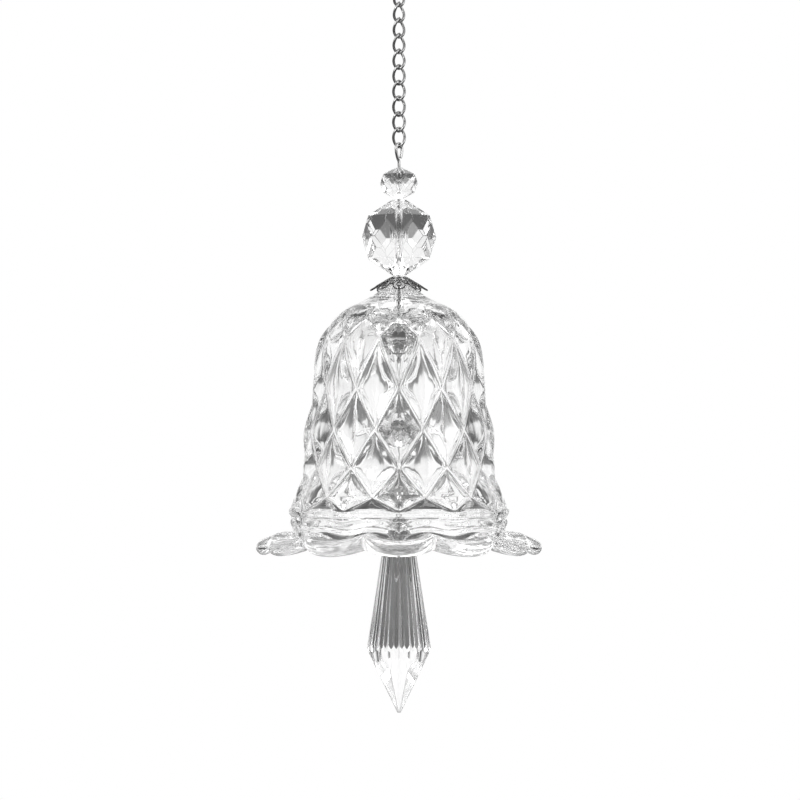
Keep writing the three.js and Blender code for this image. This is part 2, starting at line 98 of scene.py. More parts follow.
camera_data = bpy.data.cameras.new("camera")
camera_data.lens = 166.7
camera_data.sensor_width = 36
camera = bpy.data.objects.new("camera", camera_data)
camera.location = (0.00027, -1.0, -0.150)
camera.rotation_euler = (math.radians(91.4), 0, 0)
scene.collection.objects.link(camera)
scene.camera = camera
scene.view_settings.view_transform = "Standard"
scene.cycles.max_bounces = 32
scene.cycles.transmission_bounces = 32
scene.cycles.glossy_bounces = 16

studio = bpy.data.worlds.new("studio")
studio.use_nodes = True
scene.world = studio
tree = studio.node_tree
tree.nodes.clear()
direction = node(tree, "ShaderNodeTexCoord").outputs["Generated"]
towards_x, towards_y, towards_z = node(tree, "ShaderNodeSeparateXYZ", {0: direction}).outputs
height = remap(tree, towards_z, start=-1.0)
down_the_room = ramp(tree, height, [
    (0.00, 0.70), (0.10, 0.60), (0.18, 0.30), (0.25, 0.11), (0.30, 0.07), (0.37, 0.10),
    (0.422, 0.18), (0.456, 0.20), (0.474, 0.34), (0.486, 0.85), (0.50, 1.00), (0.84, 1.00),
    (0.88, 0.50), (0.94, 0.32), (0.965, 0.45), (0.978, 1.00), (1.00, 1.00),
])
x_squared = maths(tree, "MULTIPLY", towards_x, towards_x)
y_squared = maths(tree, "MULTIPLY", towards_y, towards_y)
difference = maths(tree, "SUBTRACT", y_squared, x_squared)
total = maths(tree, "ADD", y_squared, x_squared)
off_corner = maths(tree, "ABSOLUTE", maths(tree, "DIVIDE", difference, total))
overhead = remap(tree, height, start=0.62, end=0.78, soft=True)
off_corner = maths(tree, "MAXIMUM", off_corner, overhead)
round_the_room = ramp(tree, off_corner, [
    (0.0, 1.0), (0.07, 1.0), (0.11, 0.08), (0.36, 0.18), (0.50, 0.85), (0.60, 1.0),
])
room_shade = vector_maths(tree, "MULTIPLY", down_the_room, round_the_room)
path = node(tree, "ShaderNodeLightPath").outputs
seen_in_glass = maths(tree, "MAXIMUM", path["Is Glossy Ray"], path["Is Transmission Ray"])
light = node(tree, "ShaderNodeBackground", {"Color": (1, 1, 1, 1), "Strength": 0.55}).outputs[0]
room = node(tree, "ShaderNodeBackground", {"Color": room_shade, "Strength": 1.0}).outputs[0]
backdrop = node(tree, "ShaderNodeBackground", {"Color": (1, 1, 1, 1), "Strength": 1.0}).outputs[0]
unseen = node(tree, "ShaderNodeMixShader", {0: seen_in_glass, 1: light, 2: room}).outputs[0]
around = node(tree, "ShaderNodeMixShader", {0: path["Is Camera Ray"], 1: unseen, 2: backdrop})
node(tree, "ShaderNodeOutputWorld", {"Surface": around.outputs[0]})

object_middle = Vector((0, 0, -0.12))
for name, place, width, power in (
    ("key_softbox", (-0.9, -0.9, 0.55), 0.7, 9.0),
    ("fill_softbox", (1.1, -0.7, 0.25), 0.8, 5.0),
    ("top_softbox", (0.1, 0.5, 0.95), 0.9, 7.0),
):
    lamp_data = bpy.data.lights.new(name, "AREA")
    lamp_data.shape = "SQUARE"
    lamp_data.size = width
    lamp_data.energy = power
    lamp = bpy.data.objects.new(name, lamp_data)
    lamp.location = place
    lamp.rotation_euler = (object_middle - lamp.location).to_track_quat("-Z", "Y").to_euler()
    scene.collection.objects.link(lamp)

floor_level, floor_radius, floor_corners = -0.33, 0.26, 96
floor_mesh = bpy.data.meshes.new("floor")
floor_edge = [
    polar(floor_radius, 2 * math.pi * i / floor_corners, floor_level) for i in range(floor_corners)
]
floor_mesh.from_pydata(floor_edge, [], [range(floor_corners)])
floor = bpy.data.objects.new("floor", floor_mesh)
scene.collection.objects.link(floor)
paper, tree = new_material("pale_floor")
place = node(tree, "ShaderNodeTexCoord").outputs["Object"]
mottle = node(tree, "ShaderNodeTexNoise", {"Vector": place, "Scale": 9.0, "Detail": 4.0})
shade = ramp(tree, mottle.outputs[0], [(0.3, 0.80), (0.7, 0.84)])
flat = vector_maths(tree, "MULTIPLY", place, (1, 1, 0))
distance = node(tree, "ShaderNodeVectorMath", {0: flat}, operation="LENGTH").outputs["Value"]
fade = remap(tree, distance, start=0.45 * floor_radius, end=0.98 * floor_radius, soft=True)
surface = node(tree, "ShaderNodeBsdfPrincipled", {"Base Color": shade, "Roughness": 0.9})
gone = node(tree, "ShaderNodeBsdfTransparent")
edge = node(tree, "ShaderNodeMixShader", {0: fade, 1: surface.outputs[0], 2: gone.outputs[0]})
node(tree, "ShaderNodeOutputMaterial", {"Surface": edge.outputs[0]})
floor_mesh.materials.append(paper)


# Hanging ring, chain links and the ring through the prism. Each is silver plated steel wire
# bent to a loop whose ends meet at a seam on one side. A chain link is an oval that is twisted
# a quarter turn, so that it lies flat against both of its neighbours.
def surface_group(name, inputs):
    group = bpy.data.node_groups.new(name, "ShaderNodeTree")
    group.interface.new_socket("Vector", in_out="INPUT", socket_type="NodeSocketVector")
    for label, value in inputs:
        socket = group.interface.new_socket(label, in_out="INPUT", socket_type="NodeSocketFloat")
        socket.default_value = value
    for label, kind in (("Color", "Color"), ("Roughness", "Float"), ("Height", "Float")):
        group.interface.new_socket(label, in_out="OUTPUT", socket_type="NodeSocket" + kind)
    return group, node(group, "NodeGroupInput").outputs


def noise(tree, vector, scale, detail):
    inputs = {"Vector": vector, "Scale": scale, "Detail": detail}
    return node(tree, "ShaderNodeTexNoise", inputs).outputs[0]


def plated_wear():
    scratch_fineness, tarnished = 6.0, (0.34, 0.33, 0.32)
    group, given = surface_group("plated_wear", (
        ("Shade", 0.7), ("Tarnish", 0.3), ("Feature Size", 0.001),
    ))
    frequency = maths(group, "DIVIDE", 1.0, given["Feature Size"])
    cloud = noise(group, given["Vector"], frequency, 5.0)
    fine = maths(group, "MULTIPLY", frequency, scratch_fineness)
    scratches = noise(group, given["Vector"], fine, 3.0)
    stain = ramp(group, cloud, [(0.46, 0.0), (0.66, 1.0)])
    stain = maths(group, "MULTIPLY", stain, given["Tarnish"])
    shade = given["Shade"]
    bright = node(group, "ShaderNodeCombineXYZ", {0: shade, 1: shade, 2: shade}).outputs[0]
    dull = vector_maths(group, "MULTIPLY", bright, tarnished)
    mixed = node(group, "ShaderNodeMix", {"Factor": stain, "A": bright, "B": dull}, data_type="VECTOR")
    polish = remap(group, scratches, low=0.12, high=0.34)
    roughness = maths(group, "MULTIPLY_ADD", stain, 0.3, polish)
    outputs = {"Color": mixed.outputs["Result"], "Roughness": roughness, "Height": scratches}
    node(group, "NodeGroupOutput", outputs)
    return group


wear = plated_wear()


def silver(name, shade, tarnish, feature_size):
    made, tree = new_material(name)
    made.diffuse_color = (shade, shade, shade, 1)
    made.metallic = 1
    place = node(tree, "ShaderNodeTexCoord").outputs["Object"]
    worn = node(tree, "ShaderNodeGroup", node_tree=wear)
    tree.links.new(place, worn.inputs["Vector"])
    for label, value in (("Shade", shade), ("Tarnish", tarnish), ("Feature Size", feature_size)):
        worn.inputs[label].default_value = value
    scratch_depth = 0.04e-3
    scratches = {"Height": worn.outputs["Height"], "Strength": 0.25, "Distance": scratch_depth}
    bump = node(tree, "ShaderNodeBump", scratches)
    metal = node(
        tree, "ShaderNodeBsdfPrincipled",
        {
            "Base Color": worn.outputs["Color"], "Roughness": worn.outputs["Roughness"],
            "Normal": bump.outputs[0], "Metallic": 1.0,
        },
    )
    node(tree, "ShaderNodeOutputMaterial", {"Surface": metal.outputs[0]})
    return made


def geometry_tree(name, inputs, takes_geometry=False):
    tree = bpy.data.node_groups.new(name, "GeometryNodeTree")
    tree.interface.new_socket("Geometry", in_out="OUTPUT", socket_type="NodeSocketGeometry")
    if takes_geometry:
        tree.interface.new_socket("Geometry", in_out="INPUT", socket_type="NodeSocketGeometry")
    for label, kind, value in inputs:
        socket = tree.interface.new_socket(label, in_out="INPUT", socket_type="NodeSocket" + kind)
        if value is not None:
            socket.default_value = value
    return tree, node(tree, "NodeGroupInput").outputs


def close_tree(tree, geometry, material):
    real = node(tree, "GeometryNodeRealizeInstances", {"Geometry": geometry}).outputs[0]
    smooth = {"Geometry": real, "Shade Smooth": True}
    real = node(tree, "GeometryNodeSetShadeSmooth", smooth).outputs[0]
    painted = node(tree, "GeometryNodeSetMaterial", {"Geometry": real, "Material": material}).outputs[0]
    node(tree, "NodeGroupOutput", {"Geometry": painted})


def swept_wire(tree, curve, wire, sides):
    circle = {"Resolution": sides, "Radius": maths(tree, "MULTIPLY", wire, 0.5)}
    profile = node(tree, "GeometryNodeCurvePrimitiveCircle", circle).outputs[0]
    sweep = {"Curve": curve, "Profile Curve": profile, "Fill Caps": True}
    return node(tree, "GeometryNodeCurveToMesh", sweep).outputs[0]


# Mesh that a tree makes, from nothing or from the curve or mesh given as its carrier
def grown(name, tree, values, carrier=None):
    data = carrier or bpy.data.meshes.new(name + "_seed")
    seed = bpy.data.objects.new(name + "_seed", data)
    scene.collection.objects.link(seed)
    modifier = seed.modifiers.new("grow", "NODES")
    modifier.node_group = tree
    sockets = {s.name: s.identifier for s in tree.interface.items_tree if s.in_out == "INPUT"}
    for label, value in values.items():
        modifier[sockets[label]] = value
    shown = seed.evaluated_get(bpy.context.evaluated_depsgraph_get())
    mesh = bpy.data.meshes.new_from_object(shown)
    mesh.name = name
    seed.modifiers.remove(modifier)
    bpy.data.objects.remove(seed)
    return mesh


def piece(name, mesh, body, slot, *nodes):
    made = bpy.data.objects.new(name, mesh)
    scene.collection.objects.link(made)
    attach(made, body)
    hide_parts(*nodes)


def wire_loop_tree():
    tree, given = geometry_tree("wire_loop", [
        ("Half Width", "Float", 0.00145), ("Half Length", "Float", 0.0025), ("Twist", "Float", 0.0),
        ("Seam", "Float", 0.00012), ("Top", "Float", 0.0), ("Facing", "Float", 0.0),
        ("Wire", "Float", 0.0006), ("Steps", "Int", 64), ("Sides", "Int", 14),
        ("Material", "Material", None),
    ])
    line = node(tree, "GeometryNodeMeshLine", {"Count": given["Steps"]}).outputs[0]
    index = node(tree, "GeometryNodeInputIndex").outputs[0]
    share = maths(tree, "DIVIDE", index, maths(tree, "SUBTRACT", given["Steps"], 1.0))
    gap = maths(tree, "DIVIDE", given["Seam"], given["Half Length"])
    sweep = maths(tree, "SUBTRACT", 2 * math.pi, gap)
    start = maths(tree, "MULTIPLY_ADD", gap, 0.5, math.pi / 2)
    angle = maths(tree, "MULTIPLY_ADD", share, sweep, start)
    across = maths(tree, "MULTIPLY", maths(tree, "SINE", angle), given["Half Width"])
    along = maths(tree, "COSINE", angle)
    turn = maths(tree, "MULTIPLY", maths(tree, "MULTIPLY", along, given["Twist"]), 0.5)
    turn = maths(tree, "ADD", turn, given["Facing"])
    drop = maths(tree, "MULTIPLY", maths(tree, "SUBTRACT", along, 1.0), given["Half Length"])
    place = node(tree, "ShaderNodeCombineXYZ", {
        0: maths(tree, "MULTIPLY", across, maths(tree, "COSINE", turn)),
        1: maths(tree, "MULTIPLY", across, maths(tree, "SINE", turn)),
        2: maths(tree, "ADD", drop, given["Top"]),
    }).outputs[0]
    line = node(tree, "GeometryNodeSetPosition", {"Geometry": line, "Position": place}).outputs[0]
    curve = node(tree, "GeometryNodeMeshToCurve", {"Mesh": line}).outputs[0]
    close_tree(tree, swept_wire(tree, curve, given["Wire"], given["Sides"]), given["Material"])
    return tree


wire_loop = wire_loop_tree()
chain_silver = silver("silvered_chain_wire", 0.40, 0.6, 0.0012)
ring_silver = silver("silvered_ring_wire", 0.50, 0.5, 0.0016)
loop_seam = 0.12e-3
quarter_turn = math.pi / 2


def wire_loop_piece(name, inner_width, inner_length, wire, top, facing, finish, twist=0.0, steps=96):
    mesh = grown(name, wire_loop, {
        "Half Width": (inner_width + wire) / 2, "Half Length": (inner_length + wire) / 2,
        "Twist": twist, "Seam": loop_seam, "Top": top, "Facing": facing, "Wire": wire,
        "Steps": steps, "Sides": 16, "Material": finish,
    })
    piece(name + "_wire", mesh, name, "silvered_wire", name)


def chain_link(name, seat, facing):
    inner_width, inner_length, wire = 2.3e-3, 4.45e-3, 0.75e-3
    wire_loop_piece(
        name, inner_width, inner_length, wire, seat + wire / 2, facing, chain_silver,
        twist=quarter_turn, steps=64,
    )


hanging_ring_inner, hanging_ring_wire = 10e-3, 1.2e-3
wire_loop_piece(
    "hanging_ring", hanging_ring_inner, hanging_ring_inner, hanging_ring_wire,
    hanging_ring_wire / 2, 0.0, ring_silver,
)
link_pitch = 4.25e-3
chain_links, chain_seat, turn_per_link = 11, -9.8e-3, math.radians(-4.5)
for i in range(chain_links):
    facing = quarter_turn / 2 + i * turn_per_link
    chain_link(f"chain_link_{i + 1:02d}", chain_seat - i * link_pitch, facing)
drop_links, drop_seat = 2, -140.75e-3
for i in range(drop_links):
    chain_link(f"drop_link_{i + 1:02d}", drop_seat - i * link_pitch, quarter_turn / 2)
prism_ring_inner, prism_ring_wire, prism_ring_top = 8.74e-3, 0.7e-3, -148.9e-3
wire_loop_piece(
    "prism_ring", prism_ring_inner, prism_ring_inner, prism_ring_wire,
    prism_ring_top, quarter_turn, ring_silver,
)


# Eye pin and drop pin. Each is one length of silver plated wire, cut straight, and bent with
# round nosed pliers to a long teardrop eye at either end.
def smoothed(tree, curve, smoothness):
    through = {"Curve": curve}
    curve = node(tree, "GeometryNodeCurveSplineType", through, spline_type="CATMULL_ROM").outputs[0]
    fineness = {"Geometry": curve, "Resolution": smoothness}
    return node(tree, "GeometryNodeSetSplineResolution", fineness).outputs[0]


def bent_wire_tree():
    tree, given = geometry_tree("bent_wire", [
        ("Wire", "Float", 0.0008), ("Sides", "Int", 16), ("Smoothness", "Int", 8),
        ("Material", "Material", None),
    ], takes_geometry=True)
    curve = smoothed(tree, given["Geometry"], given["Smoothness"])
    close_tree(tree, swept_wire(tree, curve, given["Wire"], given["Sides"]), given["Material"])
    return tree


def new_curve(name):
    curve = bpy.data.curves.new(name, "CURVE")
    curve.dimensions = "3D"
    return curve


def add_path(curve, points, closed):
    spline = curve.splines.new("POLY")
    spline.points.add(len(points) - 1)
    for target, point in zip(spline.points, points):
        target.co = (*point, 1)
    spline.use_cyclic_u = closed


# Drop whose width follows sin(angle) * sin(angle / 2), which is 0.77 at its widest
def teardrop_eye(neck, azimuth, upward):
    height, half_width, steps = 5.0e-3, 1.1e-3, 24
    first, last = 1.0, 2 * math.pi - 0.8
    widest = 0.77
    points = []
    for i in range(steps + 1):
        angle = first + (last - first) * i / steps
        across = half_width / widest * math.sin(angle) * math.sin(angle / 2)
        rise = height / 2 * (1 - math.cos(angle))
        points.append(polar(across, azimuth, neck + upward * rise))
    return points


def pin_points(neck, shaft, upper_azimuth, lower_azimuth):
    bend, steps = 0.35e-3, 8
    depths = [bend] + [shaft * i / steps for i in range(1, steps)] + [shaft - bend]
    upper = teardrop_eye(neck, upper_azimuth, 1)
    lower = teardrop_eye(neck - shaft, lower_azimuth, -1)
    return upper + [(0, 0, neck - depth) for depth in depths] + lower[::-1]


bent_wire = bent_wire_tree()
pin_silver = silver("silvered_pin_wire", 0.50, 0.4, 0.0015)
pin_wire = 0.8e-3
for name, neck, shaft, upper_azimuth, lower_azimuth in (
    ("eye_pin", -61.15e-3, 47.6e-3, math.pi / 4, math.pi / 2),
    ("drop_pin", -117.75e-3, 18.6e-3, 0.0, 0.0),
):
    route = new_curve(name + "_path")
    add_path(route, pin_points(neck, shaft, upper_azimuth, lower_azimuth), closed=False)
    mesh = grown(name, bent_wire, {"Wire": pin_wire, "Material": pin_silver}, route)
    piece(name + "_wire", mesh, name, "silvered_wire", name)


# Crimp bead. A short barrel of soft plated tube, squeezed on the pin under the inner cap, so
# that it can't slide. Its sides bulge and its two ends are turned in.
def turned_mesh(name, profile, material, segments=40):
    bm = bmesh.new()
    rings = [
        [bm.verts.new(polar(radius, 2 * math.pi * i / segments, height)) for i in range(segments)]
        for radius, height in profile
    ]
    for lower, upper in zip(rings, rings[1:] + rings[:1]):
        for i in range(segments):
            j = (i + 1) % segments
            bm.faces.new((lower[i], lower[j], upper[j], upper[i])).smooth = True
    bmesh.ops.recalc_face_normals(bm, faces=bm.faces)
    mesh = bpy.data.meshes.new(name)
    bm.to_mesh(mesh)
    bm.free()
    mesh.materials.append(material)
    return mesh


crimp_middle, crimp_height, crimp_radius, crimp_bore = -106.95e-3, 3.0e-3, 2.0e-3, 0.75e-3
crimp_lean, crimp_steps = math.radians(62), 16
crimp_profile = [(crimp_bore, crimp_middle - crimp_height / 2)]
for i in range(crimp_steps + 1):
    lean = crimp_lean * (2 * i / crimp_steps - 1)
    rise = crimp_height / 2 * math.sin(lean) / math.sin(crimp_lean)
    crimp_profile.append((crimp_radius * math.cos(lean), crimp_middle + rise))
crimp_profile.append((crimp_bore, crimp_middle + crimp_height / 2))
crimp_silver = silver("silvered_crimp", 0.6, 0.6, 0.002)
crimp_mesh = turned_mesh("crimp_bead", crimp_profile, crimp_silver)
piece("crimp_bead_barrel", crimp_mesh, "eye_pin", "silvered_wire", "crimp_bead")


# Beads. The three beads are machine cut from clear lead glass with the classic eight sided
# cut, drilled through from table to table, and polished. Wear has made their edges a bit matt,
# and their narrow edge faces are tinted darker as painted shade, for the dark lines along the
# facet edges. The bead inside the bell is a little grey.
def glass_surface():
    dust_fineness, darkest = 9.0, 0.992
    group, given = surface_group("glass_surface", (
        ("Wave Size", 0.003), ("Stretch", 1.0), ("Haze", 0.02), ("Tint", 0.98),
    ))
    frequency = maths(group, "DIVIDE", 1.0, given["Wave Size"])
    upright = maths(group, "DIVIDE", 1.0, given["Stretch"])
    pull = node(group, "ShaderNodeCombineXYZ", {0: 1.0, 1: 1.0, 2: upright}).outputs[0]
    wave = noise(group, vector_maths(group, "MULTIPLY", given["Vector"], pull), frequency, 2.0)
    fine = maths(group, "MULTIPLY", frequency, dust_fineness)
    dust = noise(group, given["Vector"], fine, 4.0)
    film = ramp(group, dust, [(0.5, 0.0), (0.8, 1.0)])
    roughness = maths(group, "MULTIPLY", film, given["Haze"])
    dark = maths(group, "MULTIPLY", given["Tint"], darkest)
    tone = remap(group, wave, low=dark, high=given["Tint"])
    color = node(group, "ShaderNodeCombineXYZ", {0: tone, 1: tone, 2: tone}).outputs[0]
    node(group, "NodeGroupOutput", {"Color": color, "Roughness": roughness, "Height": wave})
    return group


surface_of_glass = glass_surface()


# Clear glass with waves of a size, pulled upright by the stretch, and as high as the ripple.
# Moulded is an attribute, the two values that a step lies between, and the height of the step.
# By height is the lowest and highest level, and stops for the waves and for the tint.
def clear_glass(
    name, ior, wave_size, haze, tint, ripple, stretch=1.0, matt=0.0, moulded=None, by_height=None,
):
    made, tree = new_material(name)
    made.diffuse_color = (0.9, 0.93, 0.95, 0.4)
    place = node(tree, "ShaderNodeTexCoord").outputs["Object"]
    skin = node(tree, "ShaderNodeGroup", node_tree=surface_of_glass)
    tree.links.new(place, skin.inputs["Vector"])
    looks = {"Wave Size": wave_size, "Stretch": stretch, "Haze": haze, "Tint": tint}
    for label, value in looks.items():
        skin.inputs[label].default_value = value
    roughness = maths(tree, "ADD", skin.outputs["Roughness"], matt)
    wave = skin.outputs["Height"]
    if by_height:
        low, high, wave_stops, tint_stops = by_height
        level = node(tree, "ShaderNodeSeparateXYZ", {0: place}).outputs[2]
        level = remap(tree, level, start=low, end=high)
        wave = maths(tree, "MULTIPLY", wave, ramp(tree, level, wave_stops))
        tree.links.new(ramp(tree, level, tint_stops), skin.inputs["Tint"])
    bump = node(tree, "ShaderNodeBump", {"Height": wave, "Strength": 1.0, "Distance": ripple})
    if moulded:
        label, start, end, depth = moulded
        line = node(tree, "ShaderNodeAttribute", attribute_name=label).outputs["Fac"]
        step = {
            "Height": remap(tree, line, start=start, end=end, soft=True), "Strength": 1.0,
            "Distance": depth, "Normal": bump.outputs[0],
        }
        bump = node(tree, "ShaderNodeBump", step)
    glass = node(
        tree, "ShaderNodeBsdfPrincipled",
        {
            "Base Color": skin.outputs["Color"], "Roughness": roughness,
            "Normal": bump.outputs[0], "IOR": ior, "Transmission Weight": 1.0,
        },
    )
    node(tree, "ShaderNodeOutputMaterial", {"Surface": glass.outputs[0]})
    return made


def grind(bm, point, normal):
    parts = bm.verts[:] + bm.edges[:] + bm.faces[:]
    cut = bmesh.ops.bisect_plane(
        bm, geom=parts, dist=1e-8, plane_co=point, plane_no=normal, clear_outer=True,
    )
    edges = [part for part in cut["geom_cut"] if isinstance(part, bmesh.types.BMEdge)]
    if len(edges) > 2:
        bmesh.ops.edgeloop_fill(bm, edges=edges)


# Planes round the axis, each through an upper and a lower pair of radius and height
def ring_of_planes(upper, lower, count, first):
    outward, upward = upper[1] - lower[1], lower[0] - upper[0]
    planes = []
    for i in range(count):
        azimuth = first + 2 * math.pi * i / count
        normal = Vector(polar(outward, azimuth, upward)).normalized()
        planes.append((Vector(polar(upper[0], azimuth, upper[1])), normal))
    return planes


def drilled(name, bm, drill_radius, drill_axis, drill_centre, drill_length, materials):
    blank = bpy.data.meshes.new(name + "_blank")
    bm.to_mesh(blank)
    bm.free()
    for material in materials:
        blank.materials.append(material)
    body = bpy.data.objects.new(name + "_blank", blank)
    drill_mesh = bpy.data.meshes.new(name + "_drill")
    drill_bm = bmesh.new()
    bmesh.ops.create_cone(
        drill_bm, cap_ends=True, segments=48,
        radius1=drill_radius, radius2=drill_radius, depth=drill_length,
    )
    aim = Matrix.Translation(drill_centre) @ drill_axis.to_4x4()
    bmesh.ops.transform(drill_bm, matrix=aim, verts=drill_bm.verts)
    drill_bm.to_mesh(drill_mesh)
    drill_bm.free()
    drill_mesh.materials.append(materials[0])
    drill = bpy.data.objects.new(name + "_drill", drill_mesh)
    scene.collection.objects.link(body)
    scene.collection.objects.link(drill)
    cut = body.modifiers.new("drill", "BOOLEAN")
    cut.object, cut.operation, cut.solver = drill, "DIFFERENCE", "EXACT"
    shown = body.evaluated_get(bpy.context.evaluated_depsgraph_get())
    mesh = bpy.data.meshes.new_from_object(shown)
    mesh.name = name
    body.modifiers.remove(cut)
    bpy.data.objects.remove(body)
    bpy.data.objects.remove(drill)
    along = drill_axis @ Vector((0, 0, 1))
    hole_wall, side_on = 1.02 * drill_radius, 0.1
    for face in mesh.polygons:
        arm = face.center - drill_centre
        arm -= along * arm.dot(along)
        face.use_smooth = arm.length < hole_wall and abs(face.normal.dot(along)) < side_on
    return mesh


def bead_mesh(name, width, height, centre, edge, bore, materials):
    radius, rise, sides = width / 2, height / 2, 8
    table, shoulder, flat = (0.19 * radius, rise), (0.82 * radius, 0.57 * rise), 0.955 * radius
    low_table, low_shoulder = (table[0], -table[1]), (shoulder[0], -shoulder[1])
    girdle = (radius, 0.0)
    planes = [(Vector((0, 0, rise)), Vector((0, 0, 1))), (Vector((0, 0, -rise)), Vector((0, 0, -1)))]
    planes += ring_of_planes((flat, rise), (flat, -rise), sides, math.pi / sides)
    for upper, lower in (
        (table, shoulder), (shoulder, girdle), (girdle, low_shoulder), (low_shoulder, low_table),
    ):
        planes += ring_of_planes(upper, lower, sides, 0)
    bm = bmesh.new()
    blank_size = 1.2 * max(width, height)
    bmesh.ops.create_cube(bm, size=blank_size)
    for point, normal in planes:
        grind(bm, point, normal)
    bmesh.ops.bevel(
        bm, geom=bm.edges[:], offset=edge, segments=1, affect="EDGES", clamp_overlap=True, material=1,
    )
    bmesh.ops.translate(bm, verts=bm.verts, vec=(0, 0, centre))
    middle = Vector((0, 0, centre))
    return drilled(name, bm, bore, Matrix.Identity(3), middle, 2 * height, materials)


lead_glass_ior = 1.56
cut_glass = clear_glass(
    "cut_lead_glass", lead_glass_ior, wave_size=0.006, haze=0.03, tint=0.998, ripple=2e-6,
)
inner_glass = clear_glass(
    "cut_glass_of_the_inner_bead", lead_glass_ior, wave_size=0.003, haze=0.15, tint=0.8, ripple=2e-6,
)
# Edge faces: matt from wear, and tinted darker as painted shade along the facet edges
matt_edge_with_painted_shade = clear_glass(
    "matt_edge_of_cut_glass_with_painted_shade", lead_glass_ior, wave_size=0.002, haze=0.2, tint=0.68, ripple=2e-6,
    matt=0.2,
)
for name, width, height, centre, edge, bore, bead_glass in (
    ("neck_bead", 10.3e-3, 8.4e-3, -66.95e-3, 0.06e-3, 0.75e-3, cut_glass),
    ("ball_bead", 20.1e-3, 20.4e-3, -81.65e-3, 0.1e-3, 1.1e-3, cut_glass),
    ("clapper_bead", 6.0e-3, 4.8e-3, -133.65e-3, 0.03e-3, 0.75e-3, inner_glass),
):
    mesh = bead_mesh(name, width, height, centre, edge, bore, (bead_glass, matt_edge_with_painted_shade))
    piece(name + "_glass", mesh, name, "clear_glass", name)


# Bead caps. Each is filigree of thin round wire: eight petals, each a long drop with a grain in
# it and a smaller drop at its root, round a plain hub that the pin passes. The wide cap lies on
# the bell's crown and has scrolls beside its petals. The deep one lies under the crown.
def round_the_axis(tree, shape, count):
    spots = node(tree, "GeometryNodeMeshLine", {"Count": count, "Offset": (0, 0, 0)}).outputs[0]
    index = node(tree, "GeometryNodeInputIndex").outputs[0]
    turn = maths(tree, "MULTIPLY", index, maths(tree, "DIVIDE", 2 * math.pi, count))
    rotation = node(tree, "ShaderNodeCombineXYZ", {2: turn}).outputs[0]
    inputs = {"Points": spots, "Instance": shape, "Rotation": rotation}
    return node(tree, "GeometryNodeInstanceOnPoints", inputs).outputs[0]


def petal_tree():
    tree, given = geometry_tree("stamped_petals", [
        ("Petals", "Int", 8), ("Wire", "Float", 0.0005), ("Sides", "Int", 8),
        ("Smoothness", "Int", 4), ("Material", "Material", None),
    ], takes_geometry=True)
    curve = smoothed(tree, given["Geometry"], given["Smoothness"])
    petal = swept_wire(tree, curve, given["Wire"], given["Sides"])
    close_tree(tree, round_the_axis(tree, petal, given["Petals"]), given["Material"])
    return tree


# Point of a cap at a share of the way from its hub to its rim
def dome_point(cap, share, azimuth):
    hub, rim, height, fullness, top = cap
    slackness = 0.6
    bend = (hub + (rim - hub) * fullness, -height * (1 - fullness) * slackness)
    a, b, c = (1 - share) ** 2, 2 * share * (1 - share), share ** 2
    return polar(a * hub + b * bend[0] + c * rim, azimuth, top + b * bend[1] - c * height)


def petal_curves(name, cap, count, has_scrolls):
    curve = new_curve(name + "_petal")
    half = math.pi / count
    leaf_steps, grain_steps, curl_steps = 20, 10, 13
    grain_place, grain_length, grain_width = 0.66, 0.14, 0.26
    curl_place, curl_length, curl_side, curl_width = 0.5, 0.16, 0.8, 0.26
    curl_turn, curl_shrink = 2.6 * math.pi, 0.55
    for reach, root, width in ((1.0, 0.3, 0.7), (0.4, 0.0, 0.5)):
        leaf = []
        for i in range(leaf_steps):
            angle = 2 * math.pi * i / leaf_steps
            share = root + (reach - root) * (1 - math.cos(angle)) / 2
            leaf.append(dome_point(cap, share, half * width * math.sin(angle)))
        add_path(curve, leaf, closed=True)
    grain = []
    for i in range(grain_steps):
        angle = 2 * math.pi * i / grain_steps
        share = grain_place + grain_length * math.cos(angle)
        grain.append(dome_point(cap, share, half * grain_width * math.sin(angle)))
    add_path(curve, grain, closed=True)
    for side in (-1, 1) if has_scrolls else ():
        curl = []
        for i in range(curl_steps + 1):
            angle = curl_turn * i / curl_steps
            shrink = 1 - curl_shrink * i / curl_steps
            share = curl_place + curl_length * shrink * math.cos(angle)
            off_middle = side * half * (curl_side + curl_width * shrink * math.sin(angle))
            curl.append(dome_point(cap, share, off_middle))
        add_path(curve, curl, closed=False)
    return curve


stamped_petals = petal_tree()
outer_silver = silver("oxidised_outer_cap", 0.11, 0.7, 0.0012)
inner_silver = silver("oxidised_inner_cap", 0.45, 0.6, 0.0012)
petals_per_cap = 8
hub_bore, hub_thickness, hub_bevel = 0.75e-3, 0.5e-3, 0.12e-3
hub_wall, hub_rise, lower_bevel, upper_bevel = 0.15e-3, 0.25e-3, 0.1e-3, 0.15e-3
for name, hub_radius, rim_radius, cap_height, fullness, cap_top, wire, cap_silver in (
    ("outer_bead_cap", 1.9e-3, 7.65e-3, 3.5e-3, 0.42, -92.4e-3, 0.4e-3, outer_silver),
    ("inner_bead_cap", 1.9e-3, 5.15e-3, 7.2e-3, 0.92, -104.9e-3, 0.42e-3, inner_silver),
):
    cap = (hub_radius, rim_radius, cap_height, fullness, cap_top)
    outline = petal_curves(name, cap, petals_per_cap, has_scrolls=name == "outer_bead_cap")
    petals = grown(name + "_petals", stamped_petals, {
        "Petals": petals_per_cap, "Wire": wire, "Smoothness": 3, "Material": cap_silver,
    }, outline)
    hub_outer, hub_top = hub_radius + hub_wall, cap_top + hub_rise
    hub_bottom = hub_top - hub_thickness
    hub = turned_mesh(name + "_hub", [
        (hub_bore, hub_bottom), (hub_outer - lower_bevel, hub_bottom),
        (hub_outer, hub_bottom + hub_bevel), (hub_outer, hub_top - hub_bevel),
        (hub_outer - upper_bevel, hub_top), (hub_bore, hub_top),
    ], cap_silver)
    joined = bmesh.new()
    joined.from_mesh(petals)
    joined.from_mesh(hub)
    joined.to_mesh(petals)
    joined.free()
    piece(name + "_filigree", petals, "glass_bell", "silvered_wire", name)


